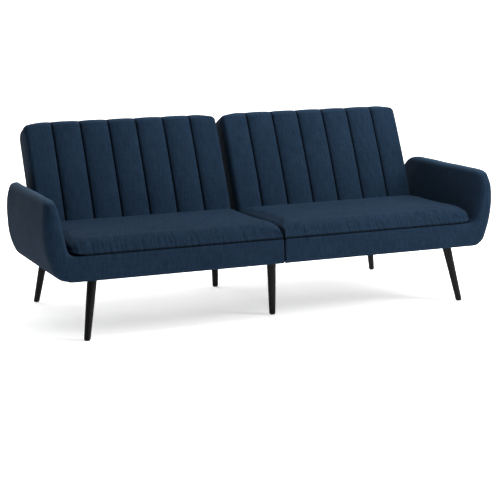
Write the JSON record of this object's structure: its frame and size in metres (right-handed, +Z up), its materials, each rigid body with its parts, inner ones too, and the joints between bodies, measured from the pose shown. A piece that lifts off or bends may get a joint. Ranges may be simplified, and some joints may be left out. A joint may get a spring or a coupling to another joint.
{
  "type": "futon sofa bed",
  "caption": "Two-section upholstered sofa bed: channel-sewn backs recline on click-clack hinges to lie flat with the seat, rounded arms, splayed tapered legs.",
  "frame": {"origin": "on the floor, at the middle of the footprint's bounding box", "axes": "+X towards the sitter's left arm (the right arm as seen from in front), -Y towards the front edge of the seat, +Z up"},
  "size_m": [2.026, 0.9208, 0.8282],
  "materials": {
    "arm_fabric": "navy linen-look weave",
    "seat_fabric": "navy linen-look weave",
    "back_fabric": "navy linen-look weave, sewn in upright channels",
    "rear_fabric": "navy linen-look weave",
    "lining": "black spun-bonded lining",
    "foam": "open-cell foam",
    "plywood": "unfinished plywood",
    "leg_lacquer": "black satin lacquer",
    "glide_plastic": "moulded black plastic",
    "black_steel": "black powder coat",
    "zinc_steel": "zinc plated"
  },
  "bodies": {
    "base": {"arm_bolts": "zinc_steel", "front_centre_leg": "leg_lacquer", "front_joining_plate": "black_steel", "hinge_pins": "zinc_steel", "joining_bolts": "zinc_steel", "left_arm_board": "plywood", "left_arm_shell": "arm_fabric", "left_dust_cover": "lining", "left_front_leg": "leg_lacquer", "left_front_rail": "black_steel", "left_front_seat_board": "plywood", "left_hinge_plates": "black_steel", "left_inner_side_rail": "black_steel", "left_leg_plates": "black_steel", "left_outer_side_rail": "black_steel", "left_rear_leg": "leg_lacquer", "left_rear_rail": "black_steel", "left_rear_seat_board": "plywood", "left_seat_cushion": "seat_fabric", "left_seat_slats": "plywood", "leg_bolts": "zinc_steel", "leg_glides": "glide_plastic", "rear_centre_leg": "leg_lacquer", "rear_joining_plate": "black_steel", "right_arm_board": "plywood", "right_arm_shell": "arm_fabric", "right_dust_cover": "lining", "right_front_leg": "leg_lacquer", "right_front_rail": "black_steel", "right_front_seat_board": "plywood", "right_hinge_plates": "black_steel", "right_inner_side_rail": "black_steel", "right_leg_plates": "black_steel", "right_outer_side_rail": "black_steel", "right_rear_leg": "leg_lacquer", "right_rear_rail": "black_steel", "right_rear_seat_board": "plywood", "right_seat_cushion": "seat_fabric", "right_seat_slats": "plywood"},
    "left_back": {"left_back_core": "foam", "left_back_cover": "rear_fabric", "left_back_frame": "black_steel", "left_back_pad": "back_fabric", "left_hinge_arm_bolts": "zinc_steel", "left_hinge_arms": "black_steel"},
    "right_back": {"right_back_core": "foam", "right_back_cover": "rear_fabric", "right_back_frame": "black_steel", "right_back_pad": "back_fabric", "right_hinge_arm_bolts": "zinc_steel", "right_hinge_arms": "black_steel"}
  },
  "joints": [
    {"name": "left_back_recline", "type": "hinge", "parent": "base", "child": "left_back", "pos_m": [-0.4565, 0.1635, 0.345], "axis": [-1, 0, 0], "range_deg": [-12, 67.5]},
    {"name": "right_back_recline", "type": "hinge", "parent": "base", "child": "right_back", "pos_m": [0.4565, 0.1635, 0.345], "axis": [-1, 0, 0], "range_deg": [-12, 67.5]}
  ]
}
